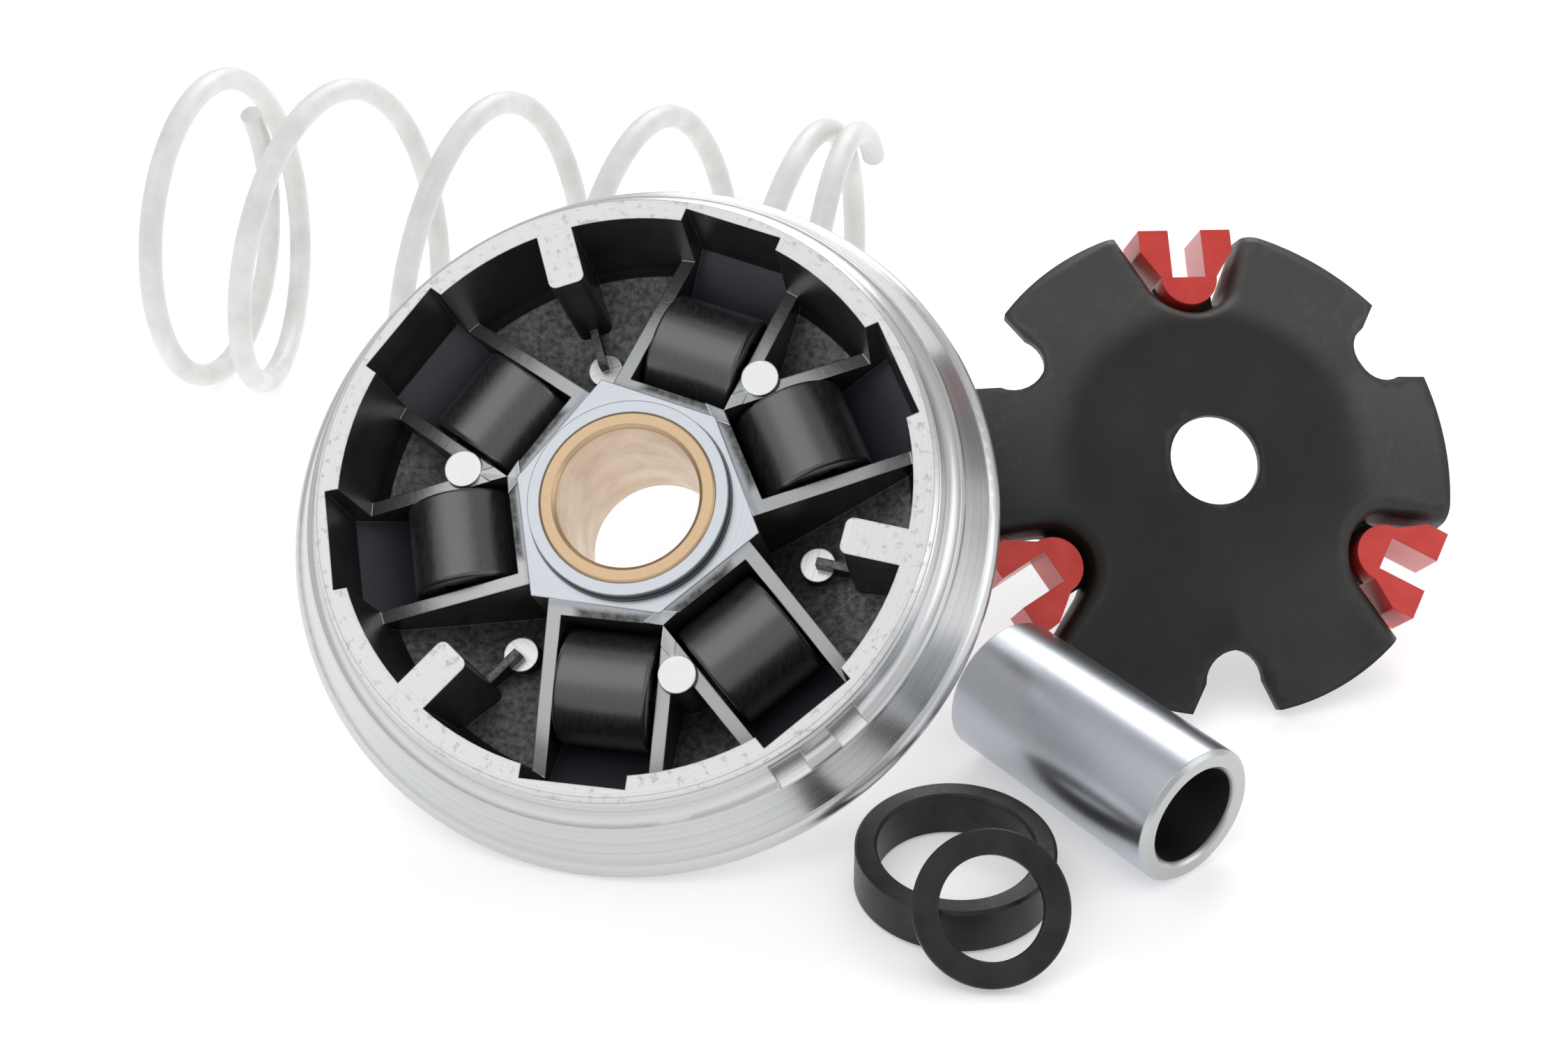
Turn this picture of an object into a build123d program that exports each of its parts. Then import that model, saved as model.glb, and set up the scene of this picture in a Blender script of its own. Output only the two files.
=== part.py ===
"""CVT pulley set of a small scooter, laid out as a kit on a flat surface.

Millimetres, +Z up. The origin is on the surface, under the middle of the kit. X runs along the kit, from
the contra spring's closed end towards the ramp plate, and Y runs away from its front.

Each piece is drawn about its own frame: the frame's Z is the piece's axis, and its X is the direction that
the piece's repeated features are counted from. The movable drum stands on its flange and leans back, the
ramp plate leans back behind it, the thin ring leans on the thick ring, and the rest lies flat.
"""

from build123d import *
from math import cos, pi, radians, sin, sqrt, tan
import os

# ---------------------------------------------------------------- places of the pieces
kit_centre = (-4.316, 312.275)  # middle of the kit's footprint in the numbers below

drum_place = (-21.46, 267.88, 41.265)  # centre of the bush's open end
drum_turn, drum_rise = -12.0, 49.0  # heading and elevation of the drum's axis, degrees
drum_roll = 54.3  # direction of the first round boss about the drum's axis

plate_place = (64.4, 295.2, 31.12)  # centre of the plate's flat face
plate_turn, plate_rise = 11.0, 45.5
plate_roll = 26.1  # direction of the first open notch about the plate's axis

sleeve_place = (54.6, 237.4)  # middle of the sleeve's near end, over the surface
sleeve_turn = 52.3  # the sleeve lies back from here, this far round from straight left

thick_ring_place = (22.8, 235.6)
thin_ring_offset = 3.6  # the thin ring stands this far to the right of the thick ring's middle
thin_ring_rise = 44.0

spring_left = (-107.0, 382.4)  # middles of the spring's two end faces
spring_right = (13.0, 355.7)

# ---------------------------------------------------------------- driving dimensions
sleeve_radius = 10.0
sleeve_bore_radius = 7.1
sleeve_length = 38.2

bush_bore_radius = sleeve_radius + 0.03  # running fit on the sleeve
bush_radius = 12.3
bush_chamfer = 0.5

rim_top = 4.3  # above the bush's open end
rim_radius = 43.0
rim_inner_radius = 39.55
step_radius, step_height = 45.6, -1.15
flange_radius = 50.35
flange_bottom = -11.25
belt_face_angle = 20.0
hub_bottom_radius = 14.8
casting_wall = 3.2
drum_bottom = -26.0
mark_angles = (-92.7, -104.8)  # two flats milled in the side wall under the rim
mark_radius, mark_width, mark_top, mark_depth = 42.6, 4.6, 1.9, 3.4

hub_corner_radii = (16.65, 18.7)  # the hub's six corners stand out by turns
hub_corner_angle = 58.5
hub_top = -2.15
land_radius = 14.0

track_angle = 23.1  # each track lies this far to one side of a round boss
track_half_width = 7.15
rib_thickness = 1.95
pocket_flat = 40.8  # distance of the flat end of a track from the drum's axis
ramp_angle = 33.0
rib_inner_radius = 14.8
rib_inner_top, rib_outer_top = -2.2, -9.2
rib_slit_radius, rib_slit_width = 22.1, 0.9

boss_place_radius, boss_radius, boss_top = 25.15, 2.65, -3.7
low_boss_place_radius, low_boss_radius, low_boss_top = 25.3, 2.5, -14.6
lug_width, lug_inner_radius, lug_corner = 5.1, 31.1, 1.1
web_top, web_thickness = -12.5, 1.2  # the low web from each low boss to its lug

roller_radius = 8.0
roller_width = 13.0
roller_place_radius, roller_height = 24.95, -9.95
roller_clearance = 0.15
shell_wall = 1.9
core_bore_radius = 3.4
shell_lip = 0.9
lip_radius = 4.9
lip_notches = 6

plate_radius = 38.2
plate_thickness = 2.2
plate_flat_radius = 22.0
plate_dish = 4.1
plate_bore_radius = 7.0
notch_radius, notch_place_radius, notch_half_angle = 4.6, 33.4, 10.2
pocket_place_radius, pocket_round, pocket_half_width = 30.0, 6.6, 11.0
pocket_depth, pocket_wall, pocket_taper = 9.0, 1.9, 7.0
ear_half_width, ear_outer_radius, ear_top = 4.5, 29.0, -6.6
ear_thickness = 2.0

slide_top, slide_thickness = -2.6, 8.2
slide_tip_radius, slide_outer_radius = 25.2, 37.2
slide_half_width, slide_round = 7.3, 4.4
slot_width, slot_inner_radius = 5.2, 29.6
slide_groove_clearance = 0.15

thick_ring_radius, thick_ring_bore_radius, thick_ring_height = 13.45, 10.5, 6.8
thin_ring_radius, thin_ring_bore_radius, thin_ring_thickness = 10.15, 6.75, 2.0
thin_ring_chamfer = 0.25

spring_radius = 28.85
wire_radius = 2.0
spring_turns = 5.975
spring_end_turns = 0.86  # closed turns at each end
spring_end_pitch = 4.6
spring_points_per_turn = 12
spring_start = -63.0  # where the wire starts; it winds left-handed from here

ring_gap = 0.15  # between pieces that lean on each other


# ---------------------------------------------------------------- frames
def leaning(place, turn, rise, roll=0.0):
    """A frame whose Z leans back: turn is its heading to the right of straight forward."""
    across = Vector(cos(radians(turn)), sin(radians(turn)), 0)
    forward = Vector(sin(radians(turn)), -cos(radians(turn)), 0)
    normal = forward * cos(radians(rise)) + Vector(0, 0, sin(radians(rise)))
    origin = (place[0] - kit_centre[0], place[1] - kit_centre[1], place[2])
    rolled = across * cos(radians(roll)) + normal.cross(across) * sin(radians(roll))
    return Plane(origin=origin, x_dir=rolled, z_dir=normal)


def spoke(frame, angle):
    """The direction at an angle about a frame's Z."""
    return frame.x_dir * cos(radians(angle)) + frame.y_dir * sin(radians(angle))


def section(frame, angle=0.0):
    """A half plane through a frame's axis: X is the radius and Y is the height along the axis."""
    radial = spoke(frame, angle)
    return Plane(origin=frame.origin, x_dir=radial, z_dir=radial.cross(frame.z_dir))


def turned_about(frame, angle, radius=0.0, height=0.0):
    """A frame like the given one, turned by an angle and moved out along its X."""
    origin = frame.origin + spoke(frame, angle) * radius + frame.z_dir * height
    return Plane(origin=origin, x_dir=spoke(frame, angle), z_dir=frame.z_dir)


def axis_of(frame):
    return Axis(frame.origin, frame.z_dir)


def belt_face(radius):
    """Height of the conical belt face at a radius."""
    return flange_bottom - (flange_radius - radius) * tan(radians(belt_face_angle))


def floor(radius):
    """Height of the casting's floor, parallel to the belt face."""
    return belt_face(radius) + casting_wall


drum = leaning(drum_place, drum_turn, drum_rise, drum_roll)
plate = leaning(plate_place, plate_turn, plate_rise, plate_roll)
thirds = [0, 120, 240]
track_angles = [third + side * track_angle for third in thirds for side in (1, -1)]

os.makedirs("parts", exist_ok=True)

# ---------------------------------------------------------------- movable drum
# The ramp is straight, and runs up from an arc round the resting roller.
seat_radius = roller_radius + roller_clearance
ramp_start = (
    roller_place_radius + seat_radius * sin(radians(ramp_angle)),
    roller_height - seat_radius * cos(radians(ramp_angle)),
)
ramp_end_height = ramp_start[1] + (pocket_flat - ramp_start[0]) * tan(radians(ramp_angle))
track_inner = roller_place_radius - seat_radius
open_height = rim_top + 2

with BuildPart() as drum_casting:
    # the turned shape: rim, stepped side wall, belt flange, conical belt face and cast floor
    with BuildSketch(section(drum)):
        with BuildLine():
            Polyline(
                (rim_inner_radius, rim_top),
                (rim_radius - 0.6, rim_top),
                (rim_radius, rim_top - 0.6),
                (rim_radius, rim_top - 1.2),
                (rim_radius - 0.35, rim_top - 1.5),
                (rim_radius - 0.35, rim_top - 1.9),
                (rim_radius + 0.1, rim_top - 2.2),
                (rim_radius + 0.5, 1.2),
            )
            RadiusArc((rim_radius + 0.5, 1.2), (step_radius, step_height), -3.0)
            Polyline(
                (step_radius, step_height),
                (step_radius + 0.35, step_height - 0.5),
                (step_radius + 0.6, step_height - 1.2),
                (flange_radius - 1.4, -8.2),
            )
            RadiusArc((flange_radius - 1.4, -8.2), (flange_radius, flange_bottom + 1.35), 2.4)
            Polyline(
                (flange_radius, flange_bottom + 1.35),
                (flange_radius, flange_bottom + 0.4),
                (flange_radius - 0.4, flange_bottom),
                (hub_bottom_radius + 0.6, belt_face(hub_bottom_radius + 0.6)),
                (hub_bottom_radius, belt_face(hub_bottom_radius) - 0.5),
                (hub_bottom_radius, drum_bottom + 0.3),
                (hub_bottom_radius - 0.3, drum_bottom),
                (bush_radius, drum_bottom),
                (bush_radius, floor(bush_radius)),
                (rim_inner_radius - 1.6, floor(rim_inner_radius - 1.6)),
                (rim_inner_radius - 0.7, floor(rim_inner_radius) + 0.8),
                (rim_inner_radius, rim_top),
            )
        make_face()
    revolve(axis=axis_of(drum))

    # two thin ribs beside each track, lower towards the rim
    for angle in track_angles:
        with BuildSketch(section(drum, angle)):
            Polygon(
                (rib_inner_radius, floor(rib_inner_radius) - 1),
                (rib_inner_radius, rib_inner_top),
                (rim_inner_radius + 0.6, rib_outer_top),
                (rim_inner_radius + 0.6, floor(rim_inner_radius) - 1),
                align=None,
            )
        extrude(amount=track_half_width + rib_thickness, both=True)

    # the tracks, with a flat pocket in the rim at the end of each
    for angle in track_angles:
        with BuildSketch(section(drum, angle)):
            with BuildLine():
                Line((track_inner, open_height), (track_inner, roller_height))
                RadiusArc((track_inner, roller_height), ramp_start, -seat_radius)
                Polyline(
                    ramp_start,
                    (pocket_flat, ramp_end_height),
                    (pocket_flat, open_height),
                    (track_inner, open_height),
                )
            make_face()
        extrude(amount=track_half_width, both=True, mode=Mode.SUBTRACT)

    # a slit across the outer rib of each track
    for third in thirds:
        for side in (1, -1):
            rib_place = turned_about(drum, third + side * track_angle, rib_slit_radius, roller_height + 6)
            with BuildSketch(rib_place):
                with Locations((0, side * (track_half_width + rib_thickness / 2))):
                    Rectangle(rib_slit_width, rib_thickness + 0.4)
            extrude(amount=8, mode=Mode.SUBTRACT)

    # round bosses where two ribs meet, low bosses and guide lugs in the wide sectors
    for third in thirds:
        with BuildSketch(turned_about(drum, third, boss_place_radius, boss_top)):
            Circle(boss_radius)
        extrude(amount=-(boss_top - belt_face(boss_place_radius)) + 1)
        with BuildSketch(turned_about(drum, third + 60, low_boss_place_radius, low_boss_top)):
            Circle(low_boss_radius)
        extrude(amount=-(low_boss_top - belt_face(low_boss_place_radius)) + 1)
        with BuildSketch(section(drum, third + 60)):
            Polygon(
                (low_boss_place_radius, web_top),
                (rim_inner_radius, web_top),
                (rim_inner_radius, floor(rim_inner_radius) - 1),
                (low_boss_place_radius, floor(low_boss_place_radius) - 1),
                align=None,
            )
        extrude(amount=web_thickness / 2, both=True)
        with BuildSketch(section(drum, third + 60)):
            Polygon(
                (lug_inner_radius, rim_top),
                (rim_inner_radius + 0.8, rim_top),
                (rim_inner_radius + 0.8, floor(rim_inner_radius) - 1),
                (lug_inner_radius, floor(lug_inner_radius) - 1),
                align=None,
            )
        extrude(amount=lug_width / 2, both=True)
        upright = drum_casting.edges(Select.LAST).filter_by(axis_of(drum))
        fillet(upright.filter_by(lambda edge: edge.length > 15), lug_corner)

    for angle in mark_angles:
        with BuildSketch(turned_about(drum, angle, mark_radius + 3, mark_top)):
            Rectangle(6, mark_width)
        extrude(amount=-mark_depth, mode=Mode.SUBTRACT)

    # the six-sided hub with its round land, bored for the bush
    with BuildSketch(drum.offset(hub_top)):
        hub_corners = [
            (radius * cos(radians(third + turn)), radius * sin(radians(third + turn)))
            for third in thirds
            for radius, turn in zip(hub_corner_radii, (0, hub_corner_angle))
        ]
        Polygon(*hub_corners, align=None)
    extrude(amount=floor(bush_radius) - 0.1 - hub_top)
    with BuildSketch(drum):
        Circle(land_radius)
    extrude(amount=hub_top - 1)
    with BuildSketch(drum.offset(open_height)):
        Circle(bush_radius)
    extrude(amount=drum_bottom - open_height - 5, mode=Mode.SUBTRACT)
drum_casting.part.label = "drum_casting"

with BuildPart() as drum_bush:
    with BuildSketch(section(drum)):
        Polygon(
            (bush_bore_radius + bush_chamfer, 0.2),
            (bush_radius - 0.3, 0.2),
            (bush_radius, -0.1),
            (bush_radius, drum_bottom),
            (bush_bore_radius + bush_chamfer, drum_bottom),
            (bush_bore_radius, drum_bottom + bush_chamfer),
            (bush_bore_radius, 0.2 - bush_chamfer),
            align=None,
        )
    revolve(axis=axis_of(drum))
drum_bush.part.label = "drum_bush"

# ---------------------------------------------------------------- rollers
# Each roller is a plastic shell with notched lips, pressed over a brass core.
for number, angle in enumerate(track_angles, start=1):
    seat = turned_about(drum, angle, roller_place_radius, roller_height)
    roller = Plane(origin=seat.origin, x_dir=seat.x_dir, z_dir=-seat.y_dir)
    half = roller_width / 2
    core_radius = roller_radius - shell_wall
    core_half = half - shell_lip

    with BuildPart() as shell:
        with BuildSketch(section(roller)):
            with BuildLine():
                Polyline(
                    (core_radius, -core_half),
                    (lip_radius, -core_half),
                    (lip_radius, -half),
                    (roller_radius - 0.6, -half),
                )
                RadiusArc((roller_radius - 0.6, -half), (roller_radius, -half + 0.6), -0.6)
                Line((roller_radius, -half + 0.6), (roller_radius, half - 0.6))
                RadiusArc((roller_radius, half - 0.6), (roller_radius - 0.6, half), -0.6)
                Polyline(
                    (roller_radius - 0.6, half),
                    (lip_radius, half),
                    (lip_radius, core_half),
                    (core_radius, core_half),
                    (core_radius, -core_half),
                )
            make_face()
        revolve(axis=axis_of(roller))
        # notches through both lips
        with BuildSketch(roller.offset(-half)):
            with PolarLocations(lip_radius, lip_notches):
                Rectangle(1.8, 1.5)
        extrude(amount=shell_lip, mode=Mode.SUBTRACT)
        with BuildSketch(roller.offset(half)):
            with PolarLocations(lip_radius, lip_notches):
                Rectangle(1.8, 1.5)
        extrude(amount=-shell_lip, mode=Mode.SUBTRACT)
    shell.part.label = f"roller_{number}_shell"
    export_step(shell.part, f"parts/roller_{number}_shell.step")

    with BuildPart() as core:
        with BuildSketch(roller.offset(-core_half)):
            Circle(core_radius)
            Circle(core_bore_radius, mode=Mode.SUBTRACT)
        extrude(amount=2 * core_half)
        chamfer(core.edges().filter_by(GeomType.CIRCLE).group_by(SortBy.RADIUS)[0], 0.4)
    core.part.label = f"roller_{number}_core"
    export_step(core.part, f"parts/roller_{number}_core.step")

# ---------------------------------------------------------------- ramp plate
# A dished pressing with three open notches, and three deep pockets whose ears carry the slide pieces.
pocket_angles = [third + 60 for third in thirds]
notch_flare = plate_radius * sin(radians(notch_half_angle))
notch_rim = plate_radius * cos(radians(notch_half_angle))
deep = pocket_depth + 6


def pocket_outline(grow):
    """The open U of a pocket: a round end towards the middle, and straight sides that spread to the rim."""
    end = pocket_place_radius - pocket_round
    shoulder = pocket_place_radius - 1.5
    half = pocket_round + grow
    with BuildSketch(mode=Mode.PRIVATE) as outline:
        with BuildLine():
            ThreePointArc((shoulder, -half), (end - grow, 0), (shoulder, half))
            Polyline(
                (shoulder, half),
                (plate_radius + 6, pocket_half_width + 2.5 + grow),
                (plate_radius + 6, -pocket_half_width - 2.5 - grow),
                (shoulder, -half),
            )
        make_face()
    return outline.sketch


with BuildPart() as ramp_plate:
    # pocket walls, solid at first, then trimmed to the dished front face and the round edge
    for angle in pocket_angles:
        with BuildSketch(turned_about(plate, angle)):
            add(pocket_outline(pocket_wall))
        extrude(amount=-pocket_depth, taper=pocket_taper)
    with BuildSketch(section(plate)):
        Polygon(
            (0, 0),
            (plate_flat_radius, 0),
            (plate_radius, -plate_dish),
            (plate_radius, -deep),
            (0, -deep),
            align=None,
        )
    revolve(axis=axis_of(plate), mode=Mode.INTERSECT)
    # the dished disc
    with BuildSketch(section(plate)):
        Polygon(
            (plate_bore_radius, 0),
            (plate_flat_radius, 0),
            (plate_radius, -plate_dish),
            (plate_radius, -plate_dish - plate_thickness),
            (plate_flat_radius - 0.5, -plate_thickness),
            (plate_bore_radius, -plate_thickness),
            align=None,
        )
    revolve(axis=axis_of(plate))
    # the pockets, and an ear at the foot of each
    for angle in pocket_angles:
        with BuildSketch(turned_about(plate, angle)):
            add(pocket_outline(0))
        extrude(amount=-deep, taper=pocket_taper, mode=Mode.SUBTRACT)
    for angle in pocket_angles:
        ear_inner = pocket_place_radius - pocket_round + 0.8
        with BuildSketch(turned_about(plate, angle, 0, ear_top)):
            with Locations(((ear_inner + ear_outer_radius) / 2, 0)):
                Rectangle(ear_outer_radius - ear_inner, 2 * ear_half_width)
        extrude(amount=-ear_thickness)
    # open notches
    for angle in thirds:
        with BuildSketch(turned_about(plate, angle, 0, 1)):
            with BuildLine():
                ThreePointArc(
                    (notch_place_radius, -notch_radius),
                    (notch_place_radius - notch_radius, 0),
                    (notch_place_radius, notch_radius),
                )
                Polyline(
                    (notch_place_radius, notch_radius),
                    (notch_rim, notch_flare),
                    (notch_rim + 3, notch_flare + 1.4),
                    (notch_rim + 3, -notch_flare - 1.4),
                    (notch_rim, -notch_flare),
                    (notch_place_radius, -notch_radius),
                )
            make_face()
        extrude(amount=-deep, mode=Mode.SUBTRACT)
ramp_plate.part.label = "ramp_plate"

# U-shaped slide pieces: the slot runs on a guide lug of the drum, and a groove grips the plate's ear
for number, angle in enumerate(pocket_angles, start=1):
    seat = turned_about(plate, angle, 0, slide_top)
    with BuildPart() as slide_piece:
        with BuildSketch(seat) as outline:
            with BuildLine():
                ThreePointArc(
                    (slide_tip_radius + slide_round, -slide_round),
                    (slide_tip_radius, 0),
                    (slide_tip_radius + slide_round, slide_round),
                )
                Polyline(
                    (slide_tip_radius + slide_round, slide_round),
                    (slide_outer_radius - 3.4, slide_half_width),
                    (slide_outer_radius, slide_half_width),
                    (slide_outer_radius, slot_width / 2),
                    (slot_inner_radius, slot_width / 2),
                    (slot_inner_radius, -slot_width / 2),
                    (slide_outer_radius, -slot_width / 2),
                    (slide_outer_radius, -slide_half_width),
                    (slide_outer_radius - 3.4, -slide_half_width),
                    (slide_tip_radius + slide_round, -slide_round),
                )
            make_face()
        extrude(amount=-slide_thickness)
        groove_top = ear_top + slide_groove_clearance
        groove_depth = ear_thickness + 2 * slide_groove_clearance
        with BuildSketch(turned_about(plate, angle, 0, groove_top)):
            with Locations((ear_outer_radius + 0.3 - 5, 0)):
                Rectangle(10, 2 * slide_half_width + 2)
        extrude(amount=-groove_depth, mode=Mode.SUBTRACT)
    slide_piece.part.label = f"slide_piece_{number}"
    export_step(slide_piece.part, f"parts/slide_piece_{number}.step")

# ---------------------------------------------------------------- sleeve and rings
sleeve_direction = Vector(-cos(radians(sleeve_turn)), sin(radians(sleeve_turn)), 0)
sleeve_origin = (sleeve_place[0] - kit_centre[0], sleeve_place[1] - kit_centre[1], sleeve_radius)
sleeve = Plane(origin=sleeve_origin, x_dir=(0, 0, 1), z_dir=sleeve_direction)
with BuildPart() as boss_sleeve:
    with BuildSketch(sleeve):
        Circle(sleeve_radius)
        Circle(sleeve_bore_radius, mode=Mode.SUBTRACT)
    extrude(amount=sleeve_length)
    chamfer(boss_sleeve.edges().filter_by(GeomType.CIRCLE), 0.6)
boss_sleeve.part.label = "boss_sleeve"

ring_x = thick_ring_place[0] - kit_centre[0]
ring_y = thick_ring_place[1] - kit_centre[1]
with BuildPart() as thick_ring:
    with BuildSketch(Plane(origin=(ring_x, ring_y, 0))):
        Circle(thick_ring_radius)
        Circle(thick_ring_bore_radius, mode=Mode.SUBTRACT)
    extrude(amount=thick_ring_height)
    chamfer(thick_ring.edges().filter_by(GeomType.CIRCLE), 0.35)
thick_ring.part.label = "thick_ring"

# The thin ring stands on its edge and leans back on the thick ring's upper edge.
lean = radians(thin_ring_rise)
edge_y = ring_y - sqrt(thick_ring_radius**2 - thin_ring_offset**2)
centre_z = thin_ring_radius * cos(lean) + (thin_ring_thickness / 2 - thin_ring_chamfer) * sin(lean)
reach = (thick_ring_height - centre_z) * sin(lean) / cos(lean)
back_y = edge_y - reach - (thin_ring_thickness / 2 + ring_gap) / cos(lean)
thin = leaning(
    (ring_x + thin_ring_offset + kit_centre[0], back_y + kit_centre[1], centre_z), 0, thin_ring_rise
)
with BuildPart() as thin_ring:
    with BuildSketch(thin.offset(-thin_ring_thickness / 2)):
        Circle(thin_ring_radius)
        Circle(thin_ring_bore_radius, mode=Mode.SUBTRACT)
    extrude(amount=thin_ring_thickness)
    chamfer(thin_ring.edges().filter_by(GeomType.CIRCLE), thin_ring_chamfer)
thin_ring.part.label = "thin_ring"

# ---------------------------------------------------------------- contra spring
# The wire's pitch is close at both ends and wide between them.
left = Vector(spring_left[0] - kit_centre[0], spring_left[1] - kit_centre[1], spring_radius)
right = Vector(spring_right[0] - kit_centre[0], spring_right[1] - kit_centre[1], spring_radius)
spring_axis = (right - left).normalized()
spring_frame = Plane(origin=left + spring_axis * wire_radius, x_dir=(0, 0, 1), z_dir=spring_axis)
wire_span = (right - left).length - 2 * wire_radius
coil_radius = spring_radius - wire_radius


def openness(turn):
    """0 in the closed end turns and 1 in the open ones, with a half turn between."""
    near = min(turn, spring_turns - turn)
    share = min(max((near - spring_end_turns) / 0.5, 0), 1)
    return share * share * (3 - 2 * share)


steps = round(spring_turns * spring_points_per_turn)
turns_at = [spring_turns * step / steps for step in range(steps + 1)]
open_sum = [0.0]
for before, after in zip(turns_at, turns_at[1:]):
    open_sum.append(open_sum[-1] + (after - before) * (openness(before) + openness(after)) / 2)
open_pitch = (wire_span - spring_end_pitch * spring_turns) / open_sum[-1]

with BuildPart() as contra_spring:
    with BuildLine(spring_frame):
        wire = Spline(
            *[
                (
                    coil_radius * cos(radians(spring_start) - 2 * pi * turn),
                    coil_radius * sin(radians(spring_start) - 2 * pi * turn),
                    spring_end_pitch * turn + open_pitch * opened,
                )
                for turn, opened in zip(turns_at, open_sum)
            ]
        )
    with BuildSketch(Plane(origin=wire @ 0, z_dir=wire % 0)):
        Circle(wire_radius)
    sweep(is_frenet=True)
contra_spring.part.label = "contra_spring"

for piece in (drum_casting, drum_bush, ramp_plate, boss_sleeve, thick_ring, thin_ring, contra_spring):
    export_step(piece.part, f"parts/{piece.part.label}.step")
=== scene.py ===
"""Looks of a scooter's CVT pulley set, laid out as a kit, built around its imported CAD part."""

import math

import bmesh
import bpy
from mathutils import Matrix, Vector
from mathutils.geometry import delaunay_2d_cdt


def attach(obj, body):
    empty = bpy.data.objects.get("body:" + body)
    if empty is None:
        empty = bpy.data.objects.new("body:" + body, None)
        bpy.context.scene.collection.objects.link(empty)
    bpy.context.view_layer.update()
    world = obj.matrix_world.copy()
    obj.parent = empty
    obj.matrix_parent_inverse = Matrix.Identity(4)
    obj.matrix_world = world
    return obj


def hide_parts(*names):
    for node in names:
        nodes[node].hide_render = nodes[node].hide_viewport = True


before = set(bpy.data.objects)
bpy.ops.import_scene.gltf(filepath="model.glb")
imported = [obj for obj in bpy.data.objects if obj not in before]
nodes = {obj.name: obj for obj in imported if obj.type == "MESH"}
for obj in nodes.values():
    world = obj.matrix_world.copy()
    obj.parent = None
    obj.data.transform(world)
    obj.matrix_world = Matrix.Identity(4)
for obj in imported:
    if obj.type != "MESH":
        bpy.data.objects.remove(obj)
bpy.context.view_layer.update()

MM = 0.001
KIT_CENTRE = Vector((-4.316, 312.275, 0.0))  # middle of the layout, in millimetres from under the camera


# ---------------------------------------------------------------- frames of the leaning pieces
class Local:
    """A piece's own frame: its axis is Z, and X is the direction its repeated features are counted from."""

    def __init__(self, origin, turn, rise, roll=0.0):
        turn, rise, roll = math.radians(turn), math.radians(rise), math.radians(roll)
        across = Vector((math.cos(turn), math.sin(turn), 0))
        forward = Vector((math.sin(turn), -math.cos(turn), 0))
        self.z = forward * math.cos(rise) + Vector((0, 0, math.sin(rise)))
        self.x = across * math.cos(roll) + self.z.cross(across) * math.sin(roll)
        self.y = self.z.cross(self.x)
        self.origin = Vector(origin) - KIT_CENTRE

    def point(self, x, y, z):
        """A point given in millimetres in this frame, in metres in the row frame."""
        return (self.origin + self.x * x + self.y * y + self.z * z) * MM


DRUM = Local((-21.46, 267.88, 41.265), -12.0, 49.0, 54.3)
PLATE = Local((64.4, 295.2, 31.12), 11.0, 45.5, 26.1)
SLEEVE = Local((54.6, 237.4, 10.0), 37.7, 0.0)


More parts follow.
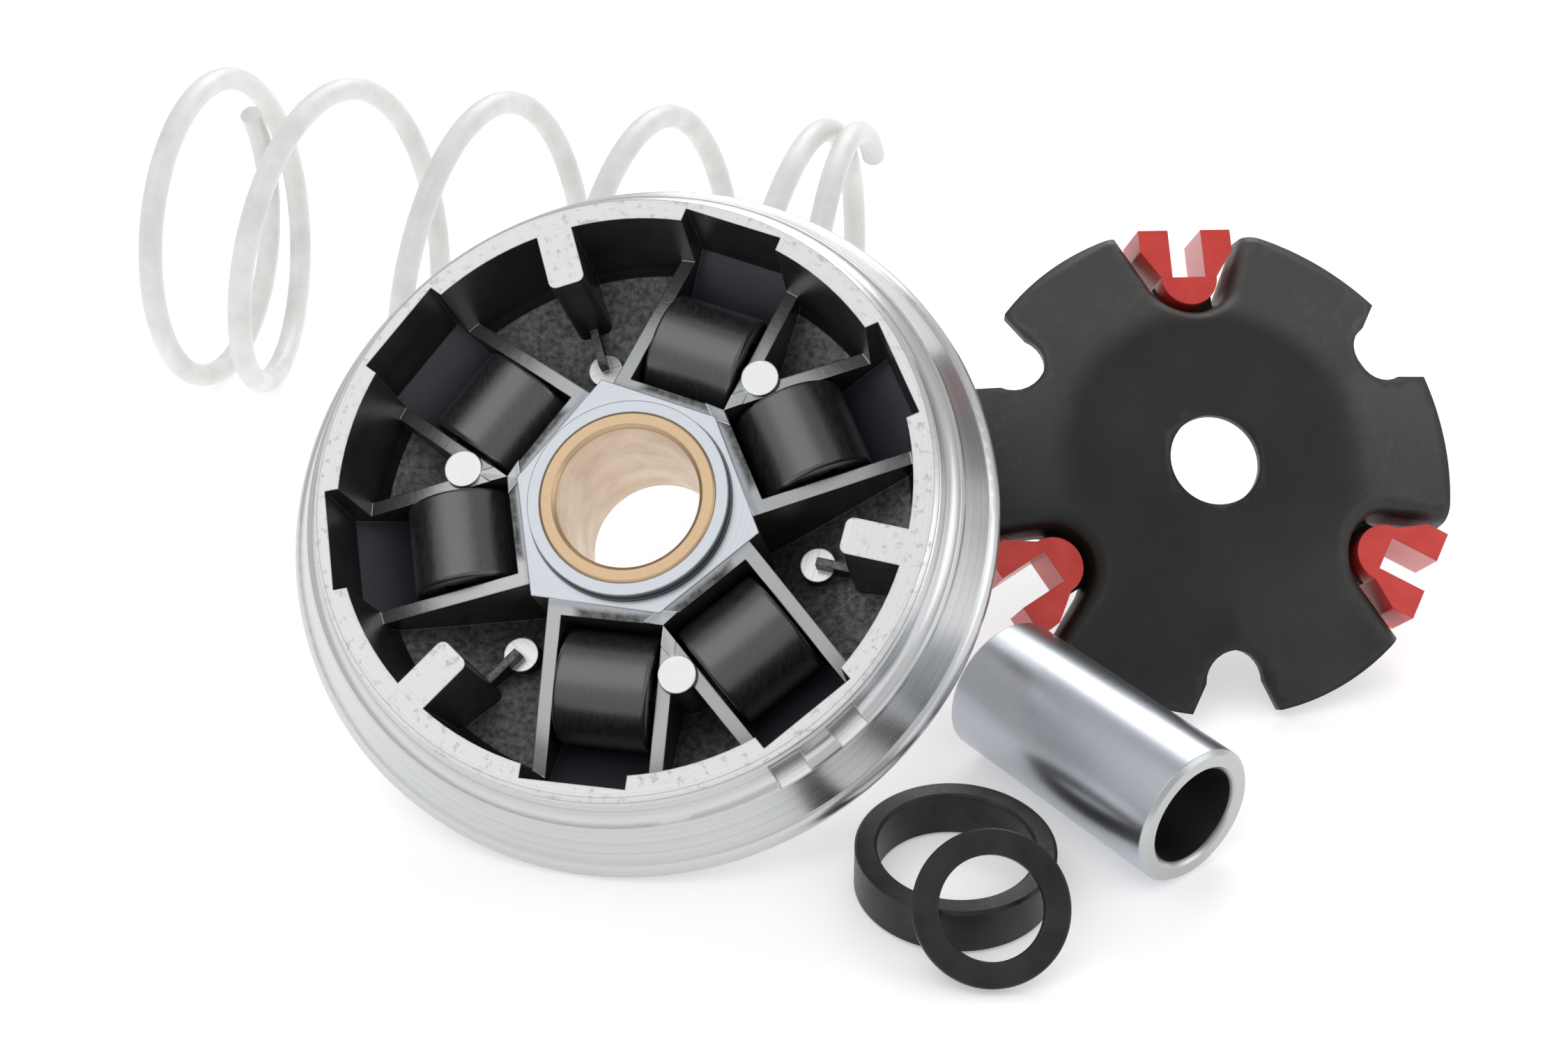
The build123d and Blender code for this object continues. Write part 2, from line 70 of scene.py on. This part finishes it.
# ---------------------------------------------------------------- material graphs
class Graph:
    """A node material with a principled shader, and short calls that make its nodes."""

    def __init__(self, name, metallic=0.0, roughness=0.5, specular=None, coat=None, coat_roughness=None):
        self.material = bpy.data.materials.new(name)
        self.material.use_nodes = True
        self.tree = self.material.node_tree
        self.shader = self.tree.nodes["Principled BSDF"]
        self.shader.inputs["Metallic"].default_value = metallic
        self.shader.inputs["Roughness"].default_value = roughness
        if specular is not None:
            self.shader.inputs["Specular IOR Level"].default_value = specular
        if coat is not None:
            self.shader.inputs["Coat Weight"].default_value = coat
        if coat_roughness is not None:
            self.shader.inputs["Coat Roughness"].default_value = coat_roughness
        coordinates = self.node("ShaderNodeTexCoord")
        self.object = coordinates.outputs["Object"]
        self.normal = coordinates.outputs["Normal"]

    def node(self, kind, **settings):
        made = self.tree.nodes.new(kind)
        for key, value in settings.items():
            setattr(made, key, value)
        return made

    def feed(self, socket, value):
        if isinstance(value, bpy.types.NodeSocket):
            self.tree.links.new(value, socket)
        elif isinstance(value, Vector):
            socket.default_value = tuple(value)
        elif isinstance(value, (tuple, list)) and len(value) == 3 and len(socket.default_value) == 4:
            socket.default_value = (*value, 1.0)
        else:
            socket.default_value = value

    def set(self, name, value):
        self.feed(self.shader.inputs[name], value)

    def math(self, operation, *values, clamp=False):
        made = self.node("ShaderNodeMath", operation=operation, use_clamp=clamp)
        for socket, value in zip(made.inputs, values):
            self.feed(socket, value)
        return made.outputs[0]

    def vector(self, operation, *values, output=0):
        made = self.node("ShaderNodeVectorMath", operation=operation)
        for socket, value in zip(made.inputs, values):
            self.feed(socket, value)
        return made.outputs[output]

    def scaled(self, vector, factor):
        made = self.node("ShaderNodeVectorMath", operation="SCALE")
        self.feed(made.inputs[0], vector)
        made.inputs["Scale"].default_value = factor
        return made.outputs[0]

    def dot(self, a, b):
        return self.vector("DOT_PRODUCT", a, b, output="Value")

    def combine(self, x, y, z):
        made = self.node("ShaderNodeCombineXYZ")
        for socket, value in zip(made.inputs, (x, y, z)):
            self.feed(socket, value)
        return made.outputs[0]

    def mix(self, share, a, b):
        made = self.node("ShaderNodeMix", data_type="RGBA")
        self.feed(made.inputs[0], share)
        self.feed(made.inputs[6], a)
        self.feed(made.inputs[7], b)
        return made.outputs[2]

    def blend(self, share, a, b):
        made = self.node("ShaderNodeMix", data_type="FLOAT")
        self.feed(made.inputs[0], share)
        self.feed(made.inputs[2], a)
        self.feed(made.inputs[3], b)
        return made.outputs[0]

    def step(self, value, low, high):
        """0 below low, 1 above high, smooth between."""
        made = self.node("ShaderNodeMapRange", interpolation_type="SMOOTHSTEP")
        for socket, given in zip(made.inputs, (value, low, high, 0.0, 1.0)):
            self.feed(socket, given)
        return made.outputs[0]

    def spread(self, value, low, high, to_low, to_high):
        made = self.node("ShaderNodeMapRange")
        for socket, given in zip(made.inputs, (value, low, high, to_low, to_high)):
            self.feed(socket, given)
        return made.outputs[0]

    def band(self, value, middle, half, soft):
        """1 within half of the middle, falling to 0 over soft."""
        away = self.math("ABSOLUTE", self.math("SUBTRACT", value, middle))
        return self.math("SUBTRACT", 1.0, self.step(away, half, half + soft))

    def all(self, *shares):
        product = shares[0]
        for share in shares[1:]:
            product = self.math("MULTIPLY", product, share)
        return product

    def any(self, *shares):
        most = shares[0]
        for share in shares[1:]:
            most = self.math("MAXIMUM", most, share)
        return most

    def noise(self, vector, scale, detail=3.0, roughness=0.5, dimensions="3D"):
        made = self.node("ShaderNodeTexNoise", noise_dimensions=dimensions)
        if dimensions == "1D":
            self.feed(made.inputs["W"], vector)
        else:
            self.feed(made.inputs["Vector"], vector)
        made.inputs["Scale"].default_value = scale
        made.inputs["Detail"].default_value = detail
        made.inputs["Roughness"].default_value = roughness
        return made.outputs[0]

    def cells(self, vector, scale, feature="DISTANCE_TO_EDGE"):
        made = self.node("ShaderNodeTexVoronoi", feature=feature)
        self.feed(made.inputs["Vector"], vector)
        made.inputs["Scale"].default_value = scale
        return made.outputs["Distance"]

    def bump(self, height, distance, strength=1.0, normal=None):
        made = self.node("ShaderNodeBump")
        made.inputs["Strength"].default_value = strength
        made.inputs["Distance"].default_value = distance
        self.feed(made.inputs["Height"], height)
        if normal is not None:
            self.feed(made.inputs["Normal"], normal)
        return made.outputs[0]

    def soft_edges(self, radius):
        made = self.node("ShaderNodeBevel", samples=6)
        made.inputs["Radius"].default_value = radius
        return made.outputs[0]

    def edge_share(self, soft_normal, low=0.02, high=0.25):
        """How far a rounded normal has turned from the surface's own: 1 along edges."""
        geometry = self.node("ShaderNodeNewGeometry")
        turned = self.math("SUBTRACT", 1.0, self.dot(soft_normal, geometry.outputs["Normal"]))
        return self.step(turned, low, high)

    def placed(self, local):
        """The point in millimetres in a piece's own frame: its x, y, z, radius and angle."""
        offset = self.vector("SUBTRACT", self.scaled(self.object, 1 / MM), local.origin)
        x, y, z = (self.dot(offset, axis) for axis in (local.x, local.y, local.z))
        flat = self.combine(x, y, 0.0)
        radius = self.vector("LENGTH", flat, output="Value")
        angle = self.math("ARCTAN2", y, x)
        return x, y, z, radius, angle

    def facing(self, direction):
        return self.dot(self.normal, direction)


def dress(material, *names):
    for name in names:
        nodes[name].data.materials.clear()
        nodes[name].data.materials.append(material)


# ---------------------------------------------------------------- cast and turned aluminium
def cast_drum():
    g = Graph("cast_aluminium", metallic=1.0, roughness=0.3)
    _, _, z, radius, _ = g.placed(DRUM)
    up = g.facing(DRUM.z)
    flat = g.step(up, 0.905, 0.93)

    # where the casting was cut by a tool: rib, boss and lug tops, the hub, the side wall and the belt face
    square = g.math("SUBTRACT", g.math("MULTIPLY", radius, radius), 65.0)
    along = g.math("SQRT", g.math("MAXIMUM", square, 0.0))
    rib_line = g.math("SUBTRACT", -1.65 + 0.276 * 12.8, g.math("MULTIPLY", along, 0.276))
    over_line = g.step(g.math("SUBTRACT", z, rib_line), -0.45, -0.25)
    low_boss = g.all(g.band(z, -14.6, 0.12, 0.1), g.band(radius, 25.3, 2.7, 0.1))
    hub = g.all(g.step(z, -2.6, -2.3), g.math("SUBTRACT", 1.0, g.step(radius, 19.0, 19.3)))
    hub = g.all(hub, g.any(flat, g.math("SUBTRACT", 1.0, g.step(radius, 14.6, 14.8))))
    belt_line = g.math("SUBTRACT", g.math("MULTIPLY", radius, 0.364), 29.18)
    back = g.step(g.math("SUBTRACT", belt_line, z), -0.1, 0.1)
    wall = g.any(g.step(radius, 41.6, 41.8), back)
    tops = g.all(flat, g.any(over_line, low_boss))
    cut = g.any(tops, hub, wall)

    # turned faces carry fine rings, cast ones grain
    point = g.scaled(g.object, 1 / MM)
    rings = g.noise(g.combine(g.math("MULTIPLY", radius, 9.0), g.math("MULTIPLY", z, 9.0), 0.0), 1.0, 3.0)
    broad_rings = g.noise(g.combine(radius, z, 0.0), 1.1, 2.0)
    grain = g.noise(point, 1.1, 4.0, 0.6)
    fine = g.noise(point, 5.0, 4.0, 0.65)
    patches = g.noise(point, 0.14, 3.0)
    scuffs = g.all(g.step(g.noise(point, 0.8, 5.0, 0.7), 0.54, 0.66), g.step(z, 2.0, 3.5))
    floor = g.all(flat, g.math("SUBTRACT", 1.0, over_line))
    slope = g.all(g.step(up, 0.60, 0.72), g.math("SUBTRACT", 1.0, flat))

    soft = g.soft_edges(0.28 * MM)
    edges = g.edge_share(soft)
    turned = g.mix(g.spread(broad_rings, 0.3, 0.7, 0.0, 1.0), (0.56, 0.57, 0.58), (0.66, 0.665, 0.66))
    turned = g.mix(tops, turned, (0.60, 0.61, 0.60))
    turned = g.mix(g.all(flat, g.step(z, 2.0, 3.5)), turned, (0.54, 0.545, 0.53))
    turned = g.mix(g.all(scuffs, 0.4), turned, (0.36, 0.365, 0.35))
    turned = g.mix(g.all(hub, 0.9), turned, (0.46, 0.48, 0.515))
    # painted shadow: a thin dark ring is painted where the hub land steps down, standing in for the shade
    # in that step
    painted_step_shadow = g.all(g.band(radius, 14.15, 0.16, 0.08), g.math("SUBTRACT", 1.0, g.step(z, -0.6, -0.3)), hub)
    turned = g.mix(g.all(painted_step_shadow, 0.8), turned, (0.05, 0.05, 0.055))
    dark = g.mix(g.spread(patches, 0.3, 0.7, 0.0, 1.0), (0.018, 0.018, 0.018), (0.036, 0.037, 0.036))
    # painted sheen: sloping ramp faces are coloured a lighter blue-grey, standing in for the reflection
    # they catch
    dark = g.mix(slope, dark, (0.048, 0.053, 0.065))
    rough_floor = g.mix(g.spread(grain, 0.35, 0.7, 0.0, 1.0), (0.07, 0.072, 0.07), (0.24, 0.245, 0.24))
    cast = g.mix(floor, dark, rough_floor)
    cast = g.mix(g.all(edges, 0.4), cast, (0.35, 0.36, 0.36))
    g.set("Base Color", g.mix(cut, cast, turned))
    cast_roughness = g.blend(floor, g.spread(grain, 0.3, 0.7, 0.30, 0.42), 0.5)
    turned_roughness = g.spread(rings, 0.3, 0.7, 0.24, 0.36)
    g.set("Roughness", g.blend(cut, cast_roughness, g.math("ADD", turned_roughness, g.all(scuffs, 0.15))))
    g.set("Metallic", g.blend(cut, g.blend(floor, 0.25, 0.7), 1.0))
    relief = g.blend(cut, g.blend(floor, g.math("MULTIPLY", fine, 0.2), grain), g.all(rings, wall, 0.05))
    g.set("Normal", g.bump(relief, 0.12 * MM, 0.5, soft))
    return g.material


def bronze():
    g = Graph("bronze", metallic=1.0, roughness=0.3)
    _, _, z, radius, _ = g.placed(DRUM)
    point = g.scaled(g.object, 1 / MM)
    cloud = g.noise(point, 0.22, 3.0)
    pores = g.noise(point, 6.0, 4.0, 0.7)
    end = g.step(z, -0.8, -0.4)
    inside = g.mix(g.spread(cloud, 0.3, 0.7, 0.0, 1.0), (0.66, 0.50, 0.36), (0.82, 0.67, 0.52))
    g.set("Base Color", g.mix(end, inside, (0.58, 0.42, 0.26)))
    g.set("Roughness", g.spread(pores, 0.3, 0.7, 0.30, 0.48))
    rings = g.noise(g.combine(g.math("MULTIPLY", radius, 8.0), g.math("MULTIPLY", z, 8.0), 0.0), 1.0, 2.0)
    g.set("Normal", g.bump(g.math("ADD", rings, pores), 0.05 * MM, 0.35, g.soft_edges(0.2 * MM)))
    return g.material


# ---------------------------------------------------------------- rollers
def roller_plastic():
    g = Graph("black_plastic", roughness=0.33, specular=1.0, coat=1.0, coat_roughness=0.28)
    point = g.scaled(g.object, 1 / MM)
    streaks = g.noise(g.vector("MULTIPLY", point, Vector((2.5, 0.6, 0.6))), 1.0, 4.0, 0.6)
    fine = g.noise(point, 9.0, 3.0, 0.6)
    share = g.spread(streaks, 0.3, 0.7, 0.0, 1.0)
    g.set("Base Color", g.mix(share, (0.010, 0.010, 0.011), (0.030, 0.030, 0.032)))
    g.set("Roughness", g.spread(streaks, 0.3, 0.7, 0.27, 0.42))
    g.set("Normal", g.bump(g.math("ADD", fine, streaks), 0.03 * MM, 0.4, g.soft_edges(0.2 * MM)))
    return g.material


def roller_brass():
    g = Graph("brass", metallic=1.0, roughness=0.3)
    point = g.scaled(g.object, 1 / MM)
    cloud = g.noise(point, 0.8, 4.0, 0.6)
    g.set("Base Color", g.mix(g.spread(cloud, 0.3, 0.7, 0.0, 1.0), (0.30, 0.20, 0.08), (0.55, 0.40, 0.19)))
    g.set("Roughness", g.spread(cloud, 0.3, 0.7, 0.22, 0.4))
    g.set("Normal", g.bump(g.noise(point, 7.0), 0.04 * MM, 0.4, g.soft_edges(0.15 * MM)))
    return g.material


# ---------------------------------------------------------------- the pressed ramp plate
PLATE_RADIUS = 38.2
LOBES = [math.radians(30 + 60 * k) for k in range(6)]  # flat lobes that lean back from the middle
CREASE = 21.5  # where a lobe starts to lean
CREASE_SOFTNESS = 1.1
LOBE_SLOPE = 0.2455
PRESS_RADIUS = 2.8  # the rounding from the face into a pocket
POCKET_DEPTH = 9.0
POCKET_TAPER = math.tan(math.radians(7.0))


def dish(x, y):
    """Height of the plate's face, flat in the middle and rounded into the leaning lobes."""
    reach = max(x * math.cos(a) + y * math.sin(a) for a in LOBES) - CREASE
    rise = math.log1p(math.exp(min(reach / CREASE_SOFTNESS, 40.0)))
    return -LOBE_SLOPE * CREASE_SOFTNESS * rise


def rotated(points, angle):
    """Points turned by an angle about the plate's axis."""
    c, s = math.cos(math.radians(angle)), math.sin(math.radians(angle))
    return [(x * c - y * s, x * s + y * c) for x, y in points]


def arc_through(end, shoulder, half, count):
    """Points on the arc from (shoulder, -half) by way of (end, 0) to (shoulder, half)."""
    centre = (shoulder**2 + half**2 - end**2) / (2 * (shoulder - end))
    radius = centre - end
    sweep = math.atan2(half, centre - shoulder)
    return [
        (centre - radius * math.cos(t), radius * math.sin(t))
        for t in [sweep * (2 * k / count - 1) for k in range(count + 1)]
    ]


def pocket_row(grow):
    """The open U of a pocket, grown outwards, from the rim round to the rim again."""
    half = 6.6 + grow
    arc = arc_through(23.4 - grow, 28.5, half, 22)
    slope = (13.5 - 6.6) / (44.2 - 28.5)
    x = 28.5
    for _ in range(6):
        x = math.sqrt(PLATE_RADIUS**2 - (half + slope * (x - 28.5)) ** 2)
    steps = [28.5 + (x - 28.5) * k / 8 for k in range(1, 9)]
    side = [(at, half + slope * (at - 28.5)) for at in steps]
    return [(at, -out) for at, out in reversed(side)] + arc + side


def rim_arc(start, end):
    """Points on the plate's edge between two points on it, anticlockwise."""
    a, b = math.atan2(start[1], start[0]), math.atan2(end[1], end[0])
    b += 2 * math.pi if b < a else 0
    count = max(2, round((b - a) * PLATE_RADIUS / 1.2))
    turns = [a + (b - a) * k / count for k in range(1, count)]
    return [(PLATE_RADIUS * math.cos(t), PLATE_RADIUS * math.sin(t)) for t in turns]


def inside(outline, x, y):
    """Whether a point lies in a closed outline."""
    found = False
    for (ax, ay), (bx, by) in zip(outline, outline[1:] + outline[:1]):
        if (ay > y) != (by > y) and x < ax + (y - ay) * (bx - ax) / (by - ay):
            found = not found
    return found


def pressed_plate():
    """The plate as a pressing: leaning lobes, open notches, and pockets with rounded edges."""
    face_row = PRESS_RADIUS - 0.35
    flare = PLATE_RADIUS * math.sin(math.radians(10.2))
    notch_rim = PLATE_RADIUS * math.cos(math.radians(10.2))
    sides = [(33.4 + (notch_rim - 33.4) * k / 4, 4.6 + (flare - 4.6) * k / 4) for k in range(1, 5)]
    notch = [(x, -y) for x, y in reversed(sides)] + arc_through(28.8, 33.4, 4.6, 14) + sides

    outline = []
    for third in (0, 120, 240):
        one = rotated(notch, third)
        two = rotated(pocket_row(face_row), third + 60)
        three = rotated(notch, third + 120)
        outline += one + rim_arc(one[-1], two[0]) + two + rim_arc(two[-1], three[0])
    bore = [(7.0 * math.cos(t), 7.0 * math.sin(t)) for t in [2 * math.pi * k / 56 for k in range(56)]]
    loops = [outline, bore]
    points = [Vector(p) for loop in loops for p in loop]
    edges = []
    for loop, first in zip(loops, (0, len(outline))):
        edges += [(first + k, first + (k + 1) % len(loop)) for k in range(len(loop))]
    border = list(points)
    pitch = 1.5
    for row in range(-30, 31):
        for column in range(-30, 31):
            spot = Vector((pitch * (column + 0.5 * (row % 2)), pitch * 0.866 * row))
            if not 7.6 < spot.length < PLATE_RADIUS or not inside(outline, *spot):
                continue
            if min((spot - p).length for p in border) > 0.8:
                points.append(spot)
    flat_points, _, triangles, _, _, _ = delaunay_2d_cdt(points, edges, [], 0, 1e-5)

    shape = bmesh.new()
    made = [shape.verts.new(PLATE.point(p.x, p.y, dish(p.x, p.y))) for p in flat_points]
    for triangle in triangles:
        middle = sum((flat_points[k] for k in triangle), Vector((0, 0))) / 3
        if middle.length > 7.0 and inside(outline, *middle):
            shape.faces.new([made[k] for k in triangle])

    steps = [math.radians(t) for t in (0, 14, 28, 42, 56, 70, 83)]
    for pocket in (60, 180, 300):
        rows = []
        for t in steps:
            grow = face_row - PRESS_RADIUS * math.sin(t)
            drop = PRESS_RADIUS * (1 - math.cos(t))
            base = rotated(pocket_row(grow), pocket)
            start = rotated(pocket_row(face_row), pocket)
            rows.append([(x, y, dish(*s) - drop) for (x, y), s in zip(base, start)])
        last, last_grow = rows[-1], face_row - PRESS_RADIUS * math.sin(steps[-1])
        for share in (0.33, 0.66, 1.0):
            fall = [(z + POCKET_DEPTH) * share for _, _, z in last]
            row = []
            for k, (_, _, z) in enumerate(last):
                grown = pocket_row(last_grow - fall[k] * POCKET_TAPER)
                row.append((*rotated([grown[k]], pocket)[0], z - fall[k]))
            rows.append(row)
        grid = [[shape.verts.new(PLATE.point(*p)) for p in row] for row in rows]
        for upper, lower in zip(grid, grid[1:]):
            for k in range(len(upper) - 1):
                shape.faces.new((upper[k], lower[k], lower[k + 1], upper[k + 1]))
        corners = rotated([(24.0, -4.5), (29.0, -4.5), (29.0, 4.5), (24.0, 4.5)], pocket)
        shape.faces.new([shape.verts.new(PLATE.point(x, y, -6.6)) for x, y in corners])
    bmesh.ops.remove_doubles(shape, verts=shape.verts, dist=0.02 * MM)
    mesh = bpy.data.meshes.new("pressed_plate")
    shape.to_mesh(mesh)
    shape.free()
    mesh.polygons.foreach_set("use_smooth", [True] * len(mesh.polygons))
    made = bpy.data.objects.new("pressed_plate", mesh)
    bpy.context.scene.collection.objects.link(made)
    sheet = made.modifiers.new("thickness", "SOLIDIFY")
    sheet.thickness = 1.9 * MM
    sheet.offset = -1.0
    sheet.use_even_offset = False
    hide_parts("ramp_plate")
    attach(made, "ramp_plate")
    return made


# ---------------------------------------------------------------- ramp plate and slide pieces
def plate_steel():
    g = Graph("black_steel", metallic=0.35, roughness=0.42, specular=0.5)
    _, _, _, radius, _ = g.placed(PLATE)
    point = g.scaled(g.object, 1 / MM)
    cloud = g.noise(point, 0.09, 3.0)
    grain = g.noise(point, 1.6, 6.0, 0.7)
    warped = g.vector("ADD", point, g.scaled(g.noise(point, 0.5, 3.0), 5.0))
    crackle = g.cells(g.vector("MULTIPLY", warped, Vector((1.0, 0.7, 1.0))), 0.42)
    # painted light: the outer lobes are coloured lighter the higher they stand, as if lit from above, and
    # the pale crackle is laid only within that painted light
    reach = g.dot(point, Vector((0.0, 0.7, 1.0)))
    upper = g.all(g.step(radius, 21.0, 26.0), g.step(reach, 0.0, 50.0))
    crackle_patch_in_painted_light = g.all(upper, g.step(g.noise(point, 0.10, 2.0), 0.44, 0.58))
    tone = g.mix(g.spread(cloud, 0.3, 0.7, 0.0, 1.0), (0.011, 0.012, 0.010), (0.021, 0.022, 0.019))
    tone = g.mix(upper, tone, (0.058, 0.058, 0.053))
    tone = g.mix(g.all(crackle_patch_in_painted_light, g.step(crackle, 0.0, 0.3), 0.35), tone, (0.085, 0.085, 0.078))
    g.set("Base Color", tone)
    g.set("Roughness", g.spread(grain, 0.3, 0.7, 0.36, 0.5))
    cracks = g.math("MULTIPLY", crackle_patch_in_painted_light, g.step(crackle, 0.0, 0.14))
    relief = g.math("ADD", g.math("MULTIPLY", grain, 0.4), g.math("MULTIPLY", cracks, 0.35))
    g.set("Normal", g.bump(relief, 0.08 * MM, 0.45, g.soft_edges(0.3 * MM)))
    return g.material


def red_nylon(number, angle):
    g = Graph(f"red_plastic_{number}", roughness=0.32, specular=0.5, coat=0.2, coat_roughness=0.2)
    turn = math.radians(angle)
    outward = PLATE.x * math.cos(turn) + PLATE.y * math.sin(turn)
    side = PLATE.z.cross(outward)
    offset = g.vector("SUBTRACT", g.scaled(g.object, 1 / MM), PLATE.origin)
    out, aside = g.dot(offset, outward), g.dot(offset, side)
    # painted highlight: the slot's side faces are coloured pale pink, standing in for the glare they catch
    painted_glare_slot = g.all(
        g.math("SUBTRACT", 1.0, g.step(g.math("ABSOLUTE", aside), 2.7, 2.8)),
        g.step(g.math("ABSOLUTE", g.facing(side)), 0.9, 0.95),
        g.step(out, 29.0, 29.5),
    )
    point = g.scaled(g.object, 1 / MM)
    cloud = g.noise(point, 0.3, 3.0)
    tone = g.mix(g.spread(cloud, 0.3, 0.7, 0.0, 1.0), (0.56, 0.030, 0.022), (0.66, 0.050, 0.036))
    g.set("Base Color", g.mix(g.all(painted_glare_slot, 0.85), tone, (0.72, 0.33, 0.32)))
    g.set("Roughness", g.spread(g.noise(point, 4.0, 3.0), 0.3, 0.7, 0.28, 0.4))
    g.set("Normal", g.bump(g.noise(point, 3.0, 4.0, 0.6), 0.05 * MM, 0.35, g.soft_edges(0.3 * MM)))
    return g.material


# ---------------------------------------------------------------- sleeve, rings and spring
def ground_steel():
    g = Graph("ground_steel", metallic=1.0, roughness=0.2)
    _, _, z, radius, angle = g.placed(SLEEVE)
    point = g.scaled(g.object, 1 / MM)
    grinding = g.noise(g.combine(g.math("MULTIPLY", angle, 0.6), g.math("MULTIPLY", z, 5.0), 0.0), 1.0, 3.0)
    cloud = g.noise(point, 0.08, 2.0)
    inner = g.math("SUBTRACT", 1.0, g.step(radius, 7.2, 7.5))
    end = g.step(g.math("ABSOLUTE", g.facing(SLEEVE.z)), 0.5, 0.9)
    tone = g.mix(g.spread(cloud, 0.3, 0.7, 0.0, 1.0), (0.50, 0.52, 0.56), (0.56, 0.58, 0.62))
    tone = g.mix(end, tone, (0.50, 0.51, 0.49))
    g.set("Base Color", g.mix(g.all(inner, 0.85), tone, (0.16, 0.16, 0.15)))
    base = g.spread(grinding, 0.3, 0.7, 0.27, 0.31)
    g.set("Roughness", g.blend(g.any(inner, end), base, 0.36))
    g.set("Normal", g.bump(grinding, 0.004 * MM, 0.1, g.soft_edges(0.25 * MM)))
    return g.material


def dark_steel():
    g = Graph("dark_steel", metallic=0.7, roughness=0.4)
    point = g.scaled(g.object, 1 / MM)
    cloud = g.noise(point, 0.15, 3.0)
    grain = g.noise(point, 3.0, 5.0, 0.7)
    share = g.spread(cloud, 0.3, 0.7, 0.0, 1.0)
    g.set("Base Color", g.mix(share, (0.020, 0.021, 0.020), (0.042, 0.043, 0.041)))
    g.set("Roughness", g.spread(grain, 0.3, 0.7, 0.30, 0.46))
    soft = g.soft_edges(0.25 * MM)
    g.set("Normal", g.bump(grain, 0.05 * MM, 0.4, soft))
    return g.material


def white_wire():
    g = Graph("white_coating", roughness=0.4, specular=0.5, coat=0.2, coat_roughness=0.3)
    point = g.scaled(g.object, 1 / MM)
    cloud = g.noise(point, 0.12, 4.0, 0.6)
    g.set("Base Color", g.mix(g.spread(cloud, 0.3, 0.7, 0.0, 1.0), (0.70, 0.71, 0.68), (0.86, 0.87, 0.84)))
    g.set("Roughness", g.spread(g.noise(point, 2.0, 4.0), 0.3, 0.7, 0.34, 0.5))
    g.set("Normal", g.bump(g.noise(point, 2.5, 4.0, 0.6), 0.08 * MM, 0.3))
    return g.material


dress(cast_drum(), "drum_casting")
dress(bronze(), "drum_bush")
dress(roller_plastic(), *[f"roller_{k}_shell" for k in range(1, 7)])
dress(roller_brass(), *[f"roller_{k}_core" for k in range(1, 7)])
pressed_plate().data.materials.append(plate_steel())
for number, angle in enumerate((60, 180, 300), start=1):
    dress(red_nylon(number, angle), f"slide_piece_{number}")
dress(ground_steel(), "boss_sleeve")
dress(dark_steel(), "thick_ring", "thin_ring")
dress(white_wire(), "contra_spring")


# ---------------------------------------------------------------- room, light and camera
def area_light(name, location, target, size, energy, colour=(1, 1, 1), size_y=None):
    lamp = bpy.data.lights.new(name, "AREA")
    lamp.energy = energy
    lamp.color = colour
    lamp.size = size
    if size_y is not None:
        lamp.shape = "RECTANGLE"
        lamp.size_y = size_y
    holder = bpy.data.objects.new(name, lamp)
    holder.location = location
    holder.rotation_euler = (Vector(target) - Vector(location)).to_track_quat("-Z", "Y").to_euler()
    bpy.context.scene.collection.objects.link(holder)
    return holder


def pale_floor():
    mesh = bpy.data.meshes.new("floor")
    shape = bmesh.new()
    ring = [shape.verts.new((1.6 * math.cos(a), 1.6 * math.sin(a), -0.0002)) for a in
            [2 * math.pi * k / 96 for k in range(96)]]
    shape.faces.new(ring)
    shape.to_mesh(mesh)
    shape.free()
    made = bpy.data.objects.new("floor", mesh)
    bpy.context.scene.collection.objects.link(made)
    g = Graph("floor_white", roughness=0.7, specular=0.2)
    cloud = g.noise(g.object, 6.0, 3.0)
    g.set("Base Color", g.mix(cloud, (0.93, 0.93, 0.93), (0.95, 0.95, 0.95)))
    g.set("Emission Color", (1.0, 1.0, 1.0))
    g.set("Emission Strength", 0.3)
    mesh.materials.append(g.material)


def white_room():
    world = bpy.data.worlds.new("studio")
    bpy.context.scene.world = world
    world.use_nodes = True
    tree = world.node_tree
    background = tree.nodes["Background"]
    coordinates = tree.nodes.new("ShaderNodeTexCoord")
    split = tree.nodes.new("ShaderNodeSeparateXYZ")
    tree.links.new(coordinates.outputs["Generated"], split.inputs[0])
    ramp = tree.nodes.new("ShaderNodeValToRGB")
    ramp.color_ramp.elements[0].position = 0.0
    ramp.color_ramp.elements[0].color = (1.0, 1.0, 1.0, 1)
    ramp.color_ramp.elements[1].position = 1.0
    ramp.color_ramp.elements[1].color = (0.60, 0.61, 0.63, 1)
    for position, level in ((0.10, 0.60), (0.30, 0.95)):
        stop = ramp.color_ramp.elements.new(position)
        stop.color = (level, level, level * 1.02, 1)
    tree.links.new(split.outputs["Z"], ramp.inputs[0])
    tree.links.new(ramp.outputs[0], background.inputs["Color"])
    background.inputs["Strength"].default_value = 0.8


pale_floor()
white_room()
area_light("key", (-0.30, -0.28, 0.75), (0, 0, 0.02), 0.7, 1.5)
area_light("back", (0.15, 0.60, 0.50), (0, 0, 0.03), 0.5, 2.2)
area_light("side", (0.6, -0.2, 0.3), (0, -0.02, 0.03), 0.4, 0.6)

lens = bpy.data.cameras.new("camera")
lens.sensor_width = 36.0
lens.lens = 52.8
lens.clip_start = 0.01
camera = bpy.data.objects.new("camera", lens)
camera.location = tuple((Vector((0.0, 0.0, 205.25)) - KIT_CENTRE) * MM)
camera.rotation_euler = (math.radians(57.88), 0, 0)
bpy.context.scene.collection.objects.link(camera)
bpy.context.scene.camera = camera
bpy.context.scene.view_settings.view_transform = "Standard"
